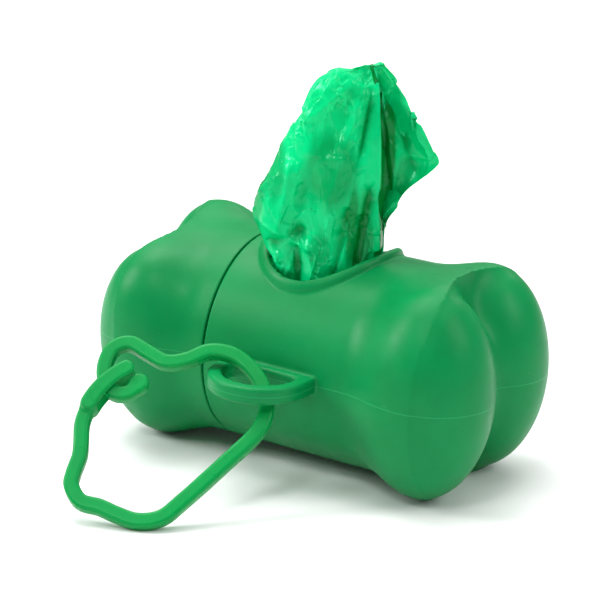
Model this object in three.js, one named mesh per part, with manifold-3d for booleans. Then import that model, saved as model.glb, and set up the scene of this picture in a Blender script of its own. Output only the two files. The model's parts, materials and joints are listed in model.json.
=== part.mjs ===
// Bone-shaped dispenser for a roll of dog waste bags, with a screw cap and a clip-on carabiner.
// Millimetres. X runs along the bone from the screw cap (-X) to the closed end (+X), -Y is the
// side with the lug, +Z is up. The group is shifted and tilted so that it stands on Z = 0.

import * as THREE from 'three';
import { mergeVertices } from 'three/addons/utils/BufferGeometryUtils.js';
import Module from 'manifold-3d';

const wasm = await Module();
wasm.setup();

// ---------------------------------------------------------------- driving dimensions

const LENGTH = 84;
const TUBE_RADIUS = 20.46;
const LOBE_RADII = new THREE.Vector3(12.25, 12.34, 19.87);
const LOBE_SIDE_OFFSET = 10.85;
const LOBE_X = LENGTH / 2 - LOBE_RADII.x;
const TUBE_BLEND = 4.32;
const GROOVE_BLEND = 5;
const WALL = 2;
const SEAM_X = -13.6;
const SEAM_GAP = 0.3;
const CAP_TWIST = THREE.MathUtils.degToRad(13.4);

const NECK_LENGTH = 8;
const NECK_BORE = 16.4;
const NECK_RADIUS = 17.4;
const NECK_WEB = 2.5;
const THREAD_LEAD = 3.2;
const THREAD_TURNS = 1.6;
const THREAD_STEPS_PER_TURN = 24;
const NECK_THREAD_CREST = 18.12;
const CAP_THREAD_CREST = 17.76;
const THREAD_ROOT_WIDTH = 1.15;
const THREAD_CREST_WIDTH = 0.65;
const THREAD_START_X = SEAM_X - NECK_LENGTH + 1;
const THREAD_END_HEIGHT = 0.15;
const THREAD_FADE_TURNS = 1 / 3;
const THREAD_SINK = 0.2;

const SLOT_X = 1.2;
const SLOT_HALF_LENGTH = 11.4;
const SLOT_HALF_WIDTH = 13.1;
const LIP_WIDTH = 1.5;
const LIP_HEIGHT = 0.9;
const SLOT_LOW_Z = 6;
const SLOT_HIGH_Z = 30;

const LUG_X = 1.9;
const LUG_RADIUS = 9.6;
const LUG_ARC_Y = -24.5;
const LUG_THICKNESS = 3.2;
const LUG_RIM = 2.7;
const LUG_HOLE_BACK_Y = -22.3;
const LUG_EDGE_ROUND = 0.5;

const CLIP_WIRE_WIDTH = 2.7;
const CLIP_WIRE_THICKNESS = 2.6;
const CLIP_EDGE_ROUND = 0.7;
const CLIP_CENTRE = new THREE.Vector3(3.86, -26.63, 1.62);
const CLIP_NORMAL = new THREE.Vector3(0.337, -0.616, 0.712).normalize();
const CLIP_NUB_RADIUS = 1.9;
const FORK_GAP = 3.2;
const FORK_PLATE = 1.1;
const FORK_WIDTH = 3.3;
const FORK_LENGTH = 11;
const FORK_EDGE_ROUND = 0.5;

const ROLL_LENGTH = 52;
const CORE_INNER = 5.2;
const CORE_OUTER = 6.3;
const FIRST_WRAP_RADIUS = 6.6;
const WOUND_BAGS = 14;
const WRAP_GAP = 0.12;
const BAG_LENGTH = 330;
const FOLDED_FILM = 0.138;

const REST_TILT = THREE.MathUtils.degToRad(1.66);

const AROUND = 48;
const CORE_AROUND = 24;
const END_CENTRE_X = LOBE_X - 5;
const SOLVE_STEPS = 24;

// ---------------------------------------------------------------- solids and booleans

function toSolid(geometry) {
  const bare = new THREE.BufferGeometry();
  bare.setAttribute('position', geometry.getAttribute('position').clone());
  if (geometry.index) bare.setIndex(geometry.index.clone());
  const merged = mergeVertices(bare, 1e-4);
  const vertProperties = Float32Array.from(merged.getAttribute('position').array);
  const triVerts = Uint32Array.from(merged.index.array);
  return new wasm.Manifold(new wasm.Mesh({ numProp: 3, vertProperties, triVerts }));
}

function toGeometry(solid) {
  const mesh = solid.getMesh();
  const geometry = new THREE.BufferGeometry();
  geometry.setAttribute('position', new THREE.BufferAttribute(mesh.vertProperties, 3));
  geometry.setIndex(new THREE.BufferAttribute(mesh.triVerts, 1));
  geometry.computeVertexNormals();
  return geometry;
}

function indexedGeometry(points, faces) {
  const geometry = new THREE.BufferGeometry();
  geometry.setAttribute('position', new THREE.Float32BufferAttribute(points.flat(), 3));
  geometry.setIndex(faces.flat());
  return geometry;
}

// A lathe about X. The profile is a list of [x, radius].
function latheX(profile, segments) {
  const outline = profile.map(([x, radius]) => new THREE.Vector2(radius, x));
  const geometry = new THREE.LatheGeometry(outline, segments);
  geometry.rotateZ(-Math.PI / 2);
  return geometry;
}

function tubeX(x0, x1, inner, outer, segments) {
  return latheX([[x0, inner], [x0, outer], [x1, outer], [x1, inner], [x0, inner]], segments);
}

function rodX(x0, x1, radius, segments) {
  return latheX([[x0, 0], [x0, radius], [x1, radius], [x1, 0]], segments);
}

// ---------------------------------------------------------------- the bone's outer form

function smoothMin(a, b, blend) {
  const h = THREE.MathUtils.clamp(0.5 + 0.5 * (b - a) / blend, 0, 1);
  return b * (1 - h) + a * h - blend * h * (1 - h);
}

function lobeDistance(x, y, z, side) {
  const nx = (Math.abs(x) - LOBE_X) / LOBE_RADII.x;
  const ny = (y - side * LOBE_SIDE_OFFSET) / LOBE_RADII.y;
  const nz = z / LOBE_RADII.z;
  return (Math.hypot(nx, ny, nz) - 1) * LOBE_RADII.x;
}

function boneDistance(x, y, z) {
  const tube = Math.max(Math.hypot(y, z) - TUBE_RADIUS, Math.abs(x) - LOBE_X);
  const lobes = smoothMin(lobeDistance(x, y, z, 1), lobeDistance(x, y, z, -1), GROOVE_BLEND);
  return smoothMin(lobes, tube, TUBE_BLEND);
}

// The point where a ray from (x, 0, 0) meets the surface that lies `inset` inside the bone.
function surfacePoint(x, direction, inset) {
  let near = 2;
  let far = LENGTH / 2;
  for (let step = 0; step < SOLVE_STEPS; step++) {
    const middle = (near + far) / 2;
    const [dx, dy, dz] = direction.map((part) => part * middle);
    if (boneDistance(x + dx, dy, dz) < -inset) near = middle;
    else far = middle;
  }
  return [x + direction[0] * near, direction[1] * near, direction[2] * near];
}

// A closed piece of the bone from the flat plane x = startX out to the rounded end at +X or -X.
function bonePiece(end, startX, inset, around, tubeRings, endRings) {
  const points = [[startX, 0, 0]];
  const ring = (x, lean) => {
    for (let i = 0; i < around; i++) {
      const angle = (2 * Math.PI * i) / around;
      const out = Math.cos(lean);
      points.push(surfacePoint(x, [end * Math.sin(lean), out * Math.cos(angle), out * Math.sin(angle)], inset));
    }
  };
  for (let i = 0; i < tubeRings; i++) {
    ring(THREE.MathUtils.lerp(startX, end * END_CENTRE_X, i / tubeRings), 0);
  }
  for (let i = 0; i < endRings; i++) {
    ring(end * END_CENTRE_X, (Math.PI / 2) * (i / endRings));
  }
  points.push(surfacePoint(end * END_CENTRE_X, [end, 0, 0], inset));
  const faces = [];
  const rings = tubeRings + endRings;
  const last = points.length - 1;
  const add = (a, b, c) => faces.push(end > 0 ? [a, b, c] : [a, c, b]);
  for (let i = 0; i < around; i++) {
    const next = (i + 1) % around;
    add(0, 1 + next, 1 + i);
    for (let r = 0; r < rings - 1; r++) {
      const a = 1 + r * around;
      const b = a + around;
      add(a + i, a + next, b + i);
      add(a + next, b + next, b + i);
    }
    add(last - around + i, last - around + next, last);
  }
  return indexedGeometry(points, faces);
}

// ---------------------------------------------------------------- screw thread

// A right-handed ridge wound about X. It fades out at both ends.
function threadRidge(startX, phase, rootRadius, crestRadius) {
  const steps = Math.round(THREAD_TURNS * THREAD_STEPS_PER_TURN);
  const points = [];
  for (let i = 0; i <= steps; i++) {
    const turn = i / THREAD_STEPS_PER_TURN;
    const angle = 2 * Math.PI * turn + phase;
    const turnsFromEnd = Math.min(i, steps - i) / THREAD_STEPS_PER_TURN;
    const fade = Math.min(1, THREAD_END_HEIGHT + turnsFromEnd / THREAD_FADE_TURNS);
    const crest = THREE.MathUtils.lerp(rootRadius, crestRadius, fade);
    const x = startX + THREAD_LEAD * turn;
    const section = [
      [-THREAD_ROOT_WIDTH / 2, rootRadius],
      [THREAD_ROOT_WIDTH / 2, rootRadius],
      [THREAD_CREST_WIDTH / 2, crest],
      [-THREAD_CREST_WIDTH / 2, crest],
    ];
    for (const [offset, radius] of section) {
      points.push([x + offset, radius * Math.cos(angle), radius * Math.sin(angle)]);
    }
  }
  const outward = crestRadius > rootRadius;
  const faces = [];
  const add = (a, b, c) => faces.push(outward ? [a, c, b] : [a, b, c]);
  for (let i = 0; i < steps; i++) {
    for (let k = 0; k < 4; k++) {
      const a = 4 * i + k;
      const b = 4 * i + ((k + 1) % 4);
      add(a, a + 4, b);
      add(b, a + 4, b + 4);
    }
  }
  const e = 4 * steps;
  add(0, 1, 2);
  add(0, 2, 3);
  add(e, e + 2, e + 1);
  add(e, e + 3, e + 2);
  return indexedGeometry(points, faces);
}

// ---------------------------------------------------------------- dispenser body

function ellipsePrism(halfX, halfY, z0, z1) {
  const shape = new THREE.Shape();
  shape.absellipse(SLOT_X, 0, halfX, halfY, 0, 2 * Math.PI);
  const prism = new THREE.ExtrudeGeometry(shape, { depth: z1 - z0, bevelEnabled: false, curveSegments: AROUND / 2 });
  prism.translate(0, 0, z0);
  return prism;
}

function slotLip() {
  const outer = toSolid(ellipsePrism(SLOT_HALF_LENGTH + LIP_WIDTH, SLOT_HALF_WIDTH + LIP_WIDTH, SLOT_LOW_Z, SLOT_HIGH_Z));
  const band = toSolid(rodX(SEAM_X + 1, LOBE_X, TUBE_RADIUS + LIP_HEIGHT, AROUND));
  return outer.intersect(band);
}

function lugPlate() {
  const root = -TUBE_RADIUS + 1;
  const outline = new THREE.Shape();
  outline.moveTo(LUG_X + LUG_RADIUS, root);
  outline.lineTo(LUG_X - LUG_RADIUS, root);
  outline.lineTo(LUG_X - LUG_RADIUS, LUG_ARC_Y);
  outline.absarc(LUG_X, LUG_ARC_Y, LUG_RADIUS, Math.PI, 2 * Math.PI, false);
  const inner = LUG_RADIUS - LUG_RIM;
  const hole = new THREE.Path();
  hole.moveTo(LUG_X - inner, LUG_HOLE_BACK_Y);
  hole.lineTo(LUG_X - inner, LUG_ARC_Y);
  hole.absarc(LUG_X, LUG_ARC_Y, inner, Math.PI, 2 * Math.PI, false);
  hole.lineTo(LUG_X + inner, LUG_HOLE_BACK_Y);
  outline.holes.push(hole);
  const plate = new THREE.ExtrudeGeometry(outline, {
    depth: LUG_THICKNESS - 2 * LUG_EDGE_ROUND,
    bevelThickness: LUG_EDGE_ROUND,
    bevelSize: LUG_EDGE_ROUND,
    bevelOffset: -LUG_EDGE_ROUND,
    bevelSegments: 1,
    curveSegments: 14,
  });
  plate.translate(0, 0, -LUG_THICKNESS / 2 + LUG_EDGE_ROUND);
  return plate;
}

function dispenserBody() {
  const neckEnd = SEAM_X - NECK_LENGTH;
  const cavityStart = SEAM_X + NECK_WEB;
  const thread = threadRidge(THREAD_START_X, 0, NECK_RADIUS - THREAD_SINK, NECK_THREAD_CREST);
  const outside = toSolid(bonePiece(1, SEAM_X, 0, AROUND, 5, 10))
    .add(toSolid(rodX(neckEnd, cavityStart, NECK_RADIUS, AROUND)))
    .add(toSolid(thread))
    .add(slotLip())
    .add(toSolid(lugPlate()));
  return outside
    .subtract(toSolid(bonePiece(1, cavityStart, WALL, AROUND, 3, 7)))
    .subtract(toSolid(rodX(neckEnd - 1, cavityStart + 1, NECK_BORE, AROUND)))
    .subtract(toSolid(ellipsePrism(SLOT_HALF_LENGTH, SLOT_HALF_WIDTH, SLOT_LOW_Z + 1, SLOT_HIGH_Z + 1)));
}

// ---------------------------------------------------------------- screw cap

function endCap() {
  const edge = SEAM_X - SEAM_GAP;
  const phase = Math.PI - CAP_TWIST;
  const thread = threadRidge(THREAD_START_X, phase, TUBE_RADIUS - WALL + THREAD_SINK, CAP_THREAD_CREST);
  return toSolid(bonePiece(-1, edge, 0, AROUND, 3, 10))
    .subtract(toSolid(bonePiece(-1, edge + 1, WALL, AROUND, 3, 7)))
    .add(toSolid(thread));
}

// ---------------------------------------------------------------- carabiner

// Centreline of the clip's open frame in its own plane, from the nub of the nose, round the two
// upper lobes, down the straight side and round the two lower lobes, to just short of the
// gate's root, where the real clip's arm bends.
const FRAME_LINE = [
  [-22.4, -2.6], [-23.8, -4.5], [-26.3, -4.8], [-28.4, -2.8], [-29, 0.6], [-27.9, 4.1],
  [-25, 5.5], [-21.6, 3.9], [-18, 2.2], [-14.2, 2.9], [-10.2, 5], [-5.8, 4.6], [-2.2, 2],
  [0.4, -1.8], [1.3, -5.4], [0.1, -10.4], [-5.6, -17.6], [-12, -25.1], [-15.3, -28.4],
  [-19.4, -29.6], [-23.2, -28.4], [-26.4, -27.2], [-29.9, -26.4], [-31.9, -23.6],
  [-31.9, -21.4], [-31.5, -19.35],
];
const GATE_LINE = [
  [-31.2, -17.6], [-31.3, -15.2], [-31.6, -11.4], [-30.9, -8.2], [-29.4, -5], [-27.2, -2.2], [-24.9, -0.3],
];
const FRAME_STEPS = 84;
const GATE_STEPS = 22;
const ROUND_END_STEPS = 6;

function centreline(points, steps) {
  const curve = new THREE.SplineCurve(points.map(([x, y]) => new THREE.Vector2(x, y)));
  return curve.getSpacedPoints(steps);
}

// The outline of a band of one width along a line, with a flat or a round far end.
function bandOutline(line, width, roundStart, roundEnd) {
  const left = [];
  const right = [];
  line.forEach((point, i) => {
    const before = line[Math.max(i - 1, 0)];
    const after = line[Math.min(i + 1, line.length - 1)];
    const along = after.clone().sub(before).normalize();
    const across = new THREE.Vector2(-along.y, along.x).multiplyScalar(width / 2);
    left.push(point.clone().add(across));
    right.push(point.clone().sub(across));
  });
  const cap = (centre, from, sweep) => {
    const points = [];
    for (let i = 1; i < ROUND_END_STEPS; i++) {
      const angle = (sweep * i) / ROUND_END_STEPS;
      points.push(from.clone().sub(centre).rotateAround(new THREE.Vector2(), angle).add(centre));
    }
    return points;
  };
  const last = line.length - 1;
  const endCapPoints = roundEnd ? cap(line[last], right[last], Math.PI) : [];
  const startCapPoints = roundStart ? cap(line[0], left[0], Math.PI) : [];
  return new THREE.Shape([...right, ...endCapPoints, ...left.reverse(), ...startCapPoints]);
}

function bandSolid(outline, thickness, edgeRound) {
  const band = new THREE.ExtrudeGeometry(outline, {
    depth: thickness - 2 * edgeRound,
    bevelThickness: edgeRound,
    bevelSize: edgeRound,
    bevelOffset: -edgeRound,
    bevelSegments: 1,
    curveSegments: 8,
  });
  band.translate(0, 0, -thickness / 2 + edgeRound);
  return toSolid(band);
}

function carabinerFrame() {
  const line = centreline(FRAME_LINE, FRAME_STEPS);
  const band = bandOutline(line, CLIP_WIRE_WIDTH, true, false);
  const nub = new THREE.Shape();
  nub.absarc(line[0].x, line[0].y, CLIP_NUB_RADIUS, 0, 2 * Math.PI, false);
  return bandSolid(band, CLIP_WIRE_THICKNESS, CLIP_EDGE_ROUND)
    .add(bandSolid(nub, CLIP_WIRE_THICKNESS, CLIP_EDGE_ROUND));
}

// The gate's arm ends in a fork, whose two plates lie in front of and behind the frame's nose.
function carabinerGate() {
  const line = centreline(GATE_LINE, GATE_STEPS);
  const forkLine = line.slice(-Math.round(FORK_LENGTH / line[0].distanceTo(line[1])));
  const [beforeTip, tip] = line.slice(-2);
  const slotLine = [...forkLine.slice(1), tip.clone().multiplyScalar(2).sub(beforeTip)];
  const arm = bandOutline(line, CLIP_WIRE_WIDTH, true, false);
  const fork = bandOutline(forkLine, FORK_WIDTH, false, false);
  const slot = bandOutline(slotLine, 2 * FORK_WIDTH, false, false);
  const slotPrism = new THREE.ExtrudeGeometry(slot, { depth: FORK_GAP, bevelEnabled: false });
  slotPrism.translate(0, 0, -FORK_GAP / 2);
  return bandSolid(arm, CLIP_WIRE_THICKNESS, CLIP_EDGE_ROUND)
    .add(bandSolid(fork, FORK_GAP + 2 * FORK_PLATE, FORK_EDGE_ROUND))
    .subtract(toSolid(slotPrism));
}

// ---------------------------------------------------------------- roll of bags

// Each wound bag keeps the area of its folded film, so the outer wraps are thinner.
function wrapRadii() {
  const radii = [FIRST_WRAP_RADIUS];
  const filmArea = (BAG_LENGTH * FOLDED_FILM) / Math.PI;
  for (let i = 0; i < WOUND_BAGS; i++) {
    radii.push(Math.sqrt(radii[i] ** 2 + filmArea));
  }
  return radii;
}

// Sections of the pulled-out bag: height, middle along and across its width, half width, half depth.
const BAG_SECTIONS = [
  [16.6, 0.2, 1.2, 6.4, 2.8],
  [18.4, 0, 0.8, 7.4, 3.4],
  [21, -0.3, 0.4, 8.8, 4.4],
  [25, -0.9, 0, 11.6, 5.8],
  [29.2, -0.6, -0.4, 13.2, 6.4],
  [33.6, 2, -0.4, 13.5, 6.4],
  [38.6, 6, 0, 15.2, 6],
  [41.6, 6.2, 0.4, 13.8, 5.6],
  [46, 5.9, 0.6, 11.2, 5],
  [50.4, 5.7, 0.4, 8.4, 4.4],
  [54, 6.3, 0, 5.8, 3.6],
  [56.6, 7.2, 0, 2.6, 2],
];
const BAG_FACING = THREE.MathUtils.degToRad(25);
const BAG_FOOT = new THREE.Vector2(1.5, -4.4);
const BAG_AROUND = 16;

function pulledBag() {
  const along = new THREE.Vector2(Math.cos(BAG_FACING), Math.sin(BAG_FACING));
  const across = new THREE.Vector2(-along.y, along.x);
  const points = [];
  for (const [z, shift, back, halfWidth, halfDepth] of BAG_SECTIONS) {
    for (let i = 0; i < BAG_AROUND; i++) {
      const angle = (2 * Math.PI * i) / BAG_AROUND;
      const point = BAG_FOOT.clone()
        .addScaledVector(along, shift + halfWidth * Math.cos(angle))
        .addScaledVector(across, back + halfDepth * Math.sin(angle));
      points.push([point.x, point.y, z]);
    }
  }
  const faces = [];
  const rings = BAG_SECTIONS.length;
  for (let i = 1; i < BAG_AROUND - 1; i++) {
    const top = (rings - 1) * BAG_AROUND;
    faces.push([0, i + 1, i]);
    faces.push([top, top + i, top + i + 1]);
  }
  for (let r = 0; r < rings - 1; r++) {
    for (let i = 0; i < BAG_AROUND; i++) {
      const a = r * BAG_AROUND + i;
      const b = r * BAG_AROUND + ((i + 1) % BAG_AROUND);
      faces.push([a, b, b + BAG_AROUND]);
      faces.push([a, b + BAG_AROUND, a + BAG_AROUND]);
    }
  }
  return toSolid(indexedGeometry(points, faces));
}

// ---------------------------------------------------------------- assembly

const bodyPlastic = { color: 0x008c4b, roughness: 0.42, metalness: 0 };
const clipPlastic = { color: 0x00a852, roughness: 0.38, metalness: 0 };
const film = { color: 0x00b462, roughness: 0.22, metalness: 0 };
const cardboard = { color: 0xb08d63, roughness: 0.9, metalness: 0 };

function part(name, geometry, look) {
  const mesh = new THREE.Mesh(geometry, new THREE.MeshStandardMaterial(look));
  mesh.name = name;
  return mesh;
}

function buildRoll() {
  const roll = new THREE.Group();
  const half = ROLL_LENGTH / 2;
  roll.add(part('roll_core', tubeX(-half, half, CORE_INNER, CORE_OUTER, CORE_AROUND), cardboard));
  const radii = wrapRadii();
  for (let i = 0; i < WOUND_BAGS; i++) {
    const number = String(WOUND_BAGS + 1 - i).padStart(2, '0');
    const sleeve = tubeX(-half, half, radii[i] + WRAP_GAP, radii[i + 1], CORE_AROUND);
    roll.add(part(`wound_bag_${number}`, sleeve, film));
  }
  return roll;
}

function buildCarabiner() {
  const clip = new THREE.Group();
  const across = new THREE.Vector3(0, 0, 1).cross(CLIP_NORMAL).normalize();
  const upward = new THREE.Vector3().crossVectors(CLIP_NORMAL, across);
  clip.quaternion.setFromRotationMatrix(new THREE.Matrix4().makeBasis(across, upward, CLIP_NORMAL));
  clip.position.copy(CLIP_CENTRE).addScaledVector(CLIP_NORMAL, -CLIP_WIRE_THICKNESS / 2);
  clip.add(part('carabiner_frame', toGeometry(carabinerFrame()), clipPlastic));
  clip.add(part('carabiner_gate', toGeometry(carabinerGate()), clipPlastic));
  return clip;
}

const dispenser = new THREE.Group();
dispenser.rotation.y = REST_TILT;
dispenser.add(part('dispenser_body', toGeometry(dispenserBody()), bodyPlastic));
const cap = part('end_cap', toGeometry(endCap()), bodyPlastic);
cap.rotation.x = CAP_TWIST;
dispenser.add(cap);
dispenser.add(part('pulled_bag_01', toGeometry(pulledBag()), film));
dispenser.add(buildRoll());
dispenser.add(buildCarabiner());

// The origin is under the middle of the whole object, on the surface that it stands on.
const model = new THREE.Group();
model.add(dispenser);
const bounds = new THREE.Box3().setFromObject(model, true);
const middle = bounds.getCenter(new THREE.Vector3());
model.position.set(-middle.x, -middle.y, -bounds.min.z);
export default model;
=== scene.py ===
"""Looks of the bone-shaped waste bag dispenser: shell, screw cap, carabiner, roll and pulled film bag."""

import json
import math

import bmesh
import bpy
import numpy as np
from mathutils import Matrix, Vector
from mathutils.kdtree import KDTree


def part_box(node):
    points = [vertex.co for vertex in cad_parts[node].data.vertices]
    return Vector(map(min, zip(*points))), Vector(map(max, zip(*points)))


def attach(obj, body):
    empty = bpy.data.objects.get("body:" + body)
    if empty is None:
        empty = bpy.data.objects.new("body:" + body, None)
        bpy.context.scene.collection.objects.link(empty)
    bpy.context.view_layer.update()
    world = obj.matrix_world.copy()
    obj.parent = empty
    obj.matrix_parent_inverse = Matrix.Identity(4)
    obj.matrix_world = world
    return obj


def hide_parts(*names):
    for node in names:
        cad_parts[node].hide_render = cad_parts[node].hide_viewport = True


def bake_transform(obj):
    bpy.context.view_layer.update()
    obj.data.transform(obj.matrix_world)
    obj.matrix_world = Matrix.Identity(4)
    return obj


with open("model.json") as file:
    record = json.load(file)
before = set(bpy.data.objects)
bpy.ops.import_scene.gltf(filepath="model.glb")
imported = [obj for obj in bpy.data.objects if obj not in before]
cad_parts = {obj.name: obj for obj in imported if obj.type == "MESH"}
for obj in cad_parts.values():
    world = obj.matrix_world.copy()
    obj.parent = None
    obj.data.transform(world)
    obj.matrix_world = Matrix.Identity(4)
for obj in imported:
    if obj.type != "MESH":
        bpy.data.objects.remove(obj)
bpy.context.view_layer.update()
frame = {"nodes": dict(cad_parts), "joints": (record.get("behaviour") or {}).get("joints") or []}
JOINTS = {joint["name"]: joint for joint in frame["joints"]}
MM = 0.001

# ---------------------------------------------------------------- driving dimensions, mm

LENGTH = 84
TUBE_RADIUS = 20.46
LOBE_RADII = (12.25, 12.34, 19.87)
LOBE_SIDE_OFFSET = 10.85
LOBE_X = LENGTH / 2 - LOBE_RADII[0]
TUBE_BLEND = 4.32
GROOVE_BLEND = 5
WALL = 2
SEAM_X = -13.6
SEAM_GAP = 0.3
EDGE_ROUND = 0.5
SEAM_ROUND = 0.3
CAP_TWIST = math.radians(13.4)

NECK_LENGTH = 8
NECK_BORE = 16.4
NECK_RADIUS = 17.4
NECK_WEB = 2.5
THREAD_LEAD = 3.2
THREAD_TURNS = 1.6
NECK_THREAD_CREST = 18.12
CAP_THREAD_CREST = 17.76
THREAD_WIDTH = 0.9
THREAD_START_X = SEAM_X - NECK_LENGTH + 1
THREAD_ROUND = 0.35
THREAD_FADE_PER_TURN = 3
CAP_THREAD_SINK = 0.5
HOLLOW_ROUND = 0.4
BORE_OVERLAP = 1

SLOT_X = 1.2
SLOT_HALF_LENGTH = 11.4
SLOT_HALF_WIDTH = 13.1
LIP_OFFSET = 0.85
LIP_RISE = 0.3
LIP_ROUND = 0.95
LIP_BLEND = 0.45
SLOT_FLOOR_Z = 5
STEEPEST_FALL = 0.9

LUG_X = 1.9
LUG_RADIUS = 9.6
LUG_ARC_Y = -24.5
LUG_THICKNESS = 3.2
LUG_RIM = 2.7
LUG_HOLE_BACK_Y = -22.3
LUG_HOLE_ROUND = 1.5
LUG_HOLE_EDGE = 0.3
LUG_EDGE_ROUND = 0.8
LUG_SINK = 3
LUG_BLEND = 0.6

WIRE_WIDTH = 2.8
WIRE_THICKNESS = 2.6
NUB_RADIUS = 1.9
FORK_GAP = 3.2
FORK_PLATE = 0.8
FORK_WIDTH = 3.1
FORK_LENGTH = 9.8
FORK_SLOT_LENGTH = 6.8
FORK_SLOT_ROUND = 0.3
FORK_BLEND = 0.8
NUB_BLEND = 0.8
CLIP_EDGE_ROUND = 0.8
PLATE_EDGE_ROUND = 0.7
FLEX_POINT = (-31.75, -20.4)
FLEX_REACH = 4
FLEX_CUT_NORMAL = (0.1, 1, 0)
GATE_PIVOT = (-31.2, -17.6)

SHELL_STEP = 0.5
CLIP_STEP = 0.24
BODY_GRID = ((-23.4, -36, -21.5), (43, 25.5, 23))
CAP_GRID = ((-43, -25.5, -23.5), (-12.5, 25.5, 23.5))
CLIP_GRID = ((-34.5, -32, -3.4), (4, 8, 3.4))
TINY = 1e-9


# ---------------------------------------------------------------- the bone's own axes

def bone_matrix():
    """Row frame from the bone's axes in mm: X runs from the cap to the closed end."""
    turn = JOINTS["cap_turn"]
    along = -Vector(turn["axis"]).normalized()
    side = Vector((0, 1, 0))
    up = along.cross(side)
    axes = Matrix((along, side, up)).transposed().to_4x4()
    return Matrix.Translation(Vector(turn["pos_m"])) @ axes @ Matrix.Scale(MM, 4)


def clip_matrix():
    """Row frame from the carabiner's own plane in mm: its normal is +Z."""
    gate = JOINTS["gate_open"]
    normal = -Vector(gate["axis"]).normalized()
    across = BONE.to_3x3().col[2].cross(normal).normalized()
    upward = normal.cross(across)
    axes = Matrix((across, upward, normal)).transposed()
    origin = Vector(gate["pos_m"]) - MM * (axes @ Vector((*GATE_PIVOT, 0)))
    return Matrix.Translation(origin) @ axes.to_4x4() @ Matrix.Scale(MM, 4)


BONE = bone_matrix()
CLIP = clip_matrix()


# ---------------------------------------------------------------- distance fields

def smooth_min(a, b, blend):
    h = np.clip(0.5 + 0.5 * (b - a) / blend, 0, 1)
    return b * (1 - h) + a * h - blend * h * (1 - h)


def smooth_max(a, b, blend):
    return -smooth_min(-a, -b, blend)


def bone_field(p):
    x, y, z = p[..., 0], p[..., 1], p[..., 2]
    ends = (np.abs(x) - LOBE_X) / LOBE_RADII[0]
    lobes = []
    for side in (1, -1):
        across = (y - side * LOBE_SIDE_OFFSET) / LOBE_RADII[1]
        lobes.append((np.sqrt(ends ** 2 + across ** 2 + (z / LOBE_RADII[2]) ** 2) - 1) * LOBE_RADII[0])
    tube = np.maximum(np.hypot(y, z) - TUBE_RADIUS, np.abs(x) - LOBE_X)
    return smooth_min(smooth_min(lobes[0], lobes[1], GROOVE_BLEND), tube, TUBE_BLEND)


def thread_field(p, phase, root, crest):
    """A helical ridge between two radii, which fades in and out at its ends."""
    x, y, z = p[..., 0], p[..., 1], p[..., 2]
    turn = (np.arctan2(z, y) - phase) / (2 * math.pi)
    whole = np.round((x - THREAD_START_X) / THREAD_LEAD - turn)
    turn = turn + whole
    fade = np.clip(THREAD_FADE_PER_TURN * np.minimum(turn, THREAD_TURNS - turn), -1, 1)
    reach = root + (crest - root) * fade
    beside = np.abs(x - THREAD_START_X - THREAD_LEAD * turn) - THREAD_WIDTH / 2
    radius = np.hypot(y, z)
    height = radius - reach if crest > root else reach - radius
    return smooth_max(beside, height, THREAD_ROUND)


def ellipse_distance(x, y):
    """Distance in plan from the slot's edge, less than 0 inside the slot."""
    ratio = np.hypot(x / SLOT_HALF_LENGTH, y / SLOT_HALF_WIDTH)
    slope = np.hypot(x / SLOT_HALF_LENGTH ** 2, y / SLOT_HALF_WIDTH ** 2) + TINY
    return ratio * (ratio - 1) / slope


def slot_fields(p):
    """The upright punch of the slot, and the rolled lip round its edge."""
    x, y, z = p[..., 0] - SLOT_X, p[..., 1], p[..., 2]
    edge = ellipse_distance(x, y)
    slope = np.hypot(x / SLOT_HALF_LENGTH ** 2, y / SLOT_HALF_WIDTH ** 2) + TINY
    facing = (y / SLOT_HALF_WIDTH ** 2) / slope
    fall = np.clip(facing * y / TUBE_RADIUS, -STEEPEST_FALL, STEEPEST_FALL)
    along_skin = (edge - LIP_OFFSET) / np.sqrt(1 - fall ** 2)
    above_skin = np.hypot(y, z) - TUBE_RADIUS - LIP_RISE
    lip = np.maximum(np.hypot(along_skin, above_skin) - LIP_ROUND, -z)
    return np.maximum(edge, SLOT_FLOOR_Z - z), lip


def lug_field(p):
    x, y, z = p[..., 0] - LUG_X, p[..., 1], p[..., 2]
    outline = np.hypot(x, np.minimum(y - LUG_ARC_Y, 0)) - LUG_RADIUS
    hole = np.hypot(x, np.minimum(y - LUG_ARC_Y, 0)) - (LUG_RADIUS - LUG_RIM)
    hole = smooth_max(hole, y - LUG_HOLE_BACK_Y, LUG_HOLE_ROUND)
    flat = np.maximum(smooth_max(outline, -hole, LUG_HOLE_EDGE), y + TUBE_RADIUS - LUG_SINK)
    return smooth_max(flat, np.abs(z) - LUG_THICKNESS / 2, LUG_EDGE_ROUND)


def body_field(p):
    x, y, z = p[..., 0], p[..., 1], p[..., 2]
    radius = np.hypot(y, z)
    outside = bone_field(p)
    neck_end = SEAM_X - NECK_LENGTH
    inner_start = SEAM_X + NECK_WEB
    punch, lip = slot_fields(p)
    solid = smooth_max(outside, SEAM_X - x, SEAM_ROUND)
    solid = smooth_min(solid, np.maximum(lip, SEAM_X + EDGE_ROUND - x), LIP_BLEND)
    solid = smooth_min(solid, lug_field(p), LUG_BLEND)
    neck = smooth_max(radius - NECK_RADIUS, neck_end - x, EDGE_ROUND)
    neck = np.minimum(neck, thread_field(p, 0, NECK_RADIUS, NECK_THREAD_CREST))
    solid = np.minimum(solid, np.maximum(neck, x - inner_start))
    hollow = smooth_max(outside + WALL, inner_start - x, EDGE_ROUND)
    bore = np.maximum(radius - NECK_BORE, x - inner_start - BORE_OVERLAP)
    solid = smooth_max(solid, -np.minimum(hollow, bore), HOLLOW_ROUND)
    return smooth_max(solid, -punch, EDGE_ROUND)


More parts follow.
